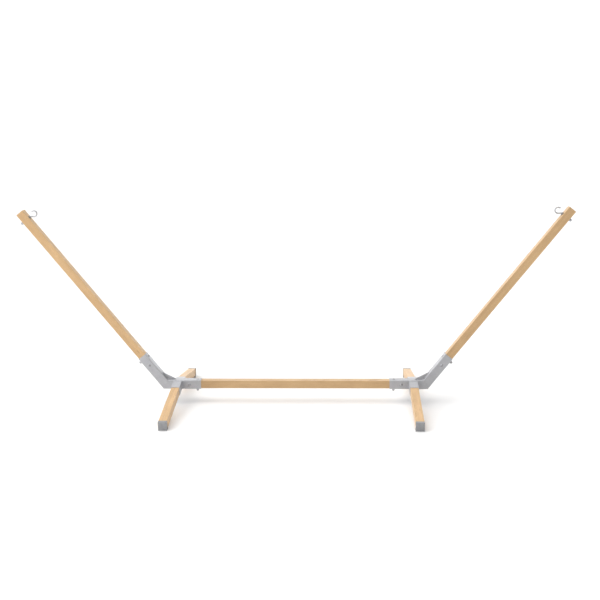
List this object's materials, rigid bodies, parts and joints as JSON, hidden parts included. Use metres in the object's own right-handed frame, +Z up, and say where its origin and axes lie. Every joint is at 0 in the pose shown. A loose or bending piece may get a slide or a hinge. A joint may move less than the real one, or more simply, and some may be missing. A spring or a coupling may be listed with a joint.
{
  "type": "hammock stand",
  "caption": "Knock-down timber hammock stand: two leaning posts on a level beam with splayed feet, steel corner brackets, plastic foot caps and turning hooks.",
  "frame": {"origin": "on the floor, under the middle of the beam and midway between the front and back feet", "axes": "+X along the beam towards the right post, +Y towards the back feet, +Z up"},
  "size_m": [3.4142, 1.1644, 1.2284],
  "materials": {
    "timber": "planed pine, clear satin sealer",
    "bracket_paint": "silver-grey powder coat, satin",
    "cap_plastic": "moulded, matt grey",
    "hook_steel": "zinc-plated",
    "fastener_steel": "zinc-plated, dulled"
  },
  "bodies": {
    "stand": {"centre_beam": "timber", "left_post": "timber", "left_post_socket": "bracket_paint", "left_beam_socket": "bracket_paint", "left_gusset": "bracket_paint", "left_front_foot": "timber", "left_front_foot_socket": "bracket_paint", "left_front_foot_cap": "cap_plastic", "left_back_foot": "timber", "left_back_foot_socket": "bracket_paint", "left_back_foot_cap": "cap_plastic", "left_hook_washers": "fastener_steel", "left_foot_screws": "fastener_steel", "left_socket_bolts": "fastener_steel", "left_socket_washers": "fastener_steel", "left_socket_nuts": "fastener_steel", "right_post": "timber", "right_post_socket": "bracket_paint", "right_beam_socket": "bracket_paint", "right_gusset": "bracket_paint", "right_front_foot": "timber", "right_front_foot_socket": "bracket_paint", "right_front_foot_cap": "cap_plastic", "right_back_foot": "timber", "right_back_foot_socket": "bracket_paint", "right_back_foot_cap": "cap_plastic", "right_hook_washers": "fastener_steel", "right_foot_screws": "fastener_steel", "right_socket_bolts": "fastener_steel", "right_socket_washers": "fastener_steel", "right_socket_nuts": "fastener_steel"},
    "left_hook_body": {"left_hook": "hook_steel", "left_hook_jam_nut": "fastener_steel", "left_hook_cap_nut": "fastener_steel"},
    "right_hook_body": {"right_hook": "hook_steel", "right_hook_jam_nut": "fastener_steel", "right_hook_cap_nut": "fastener_steel"}
  },
  "joints": [
    {"name": "left_hook_swivel", "type": "hinge", "parent": "stand", "child": "left_hook_body", "pos_m": [-1.65088, 0, 1.16656], "axis": [0.7848, 0, 0.6198], "continuous": true},
    {"name": "right_hook_swivel", "type": "hinge", "parent": "stand", "child": "right_hook_body", "pos_m": [1.65088, 0, 1.16656], "axis": [-0.7848, 0, 0.6198], "continuous": true}
  ]
}
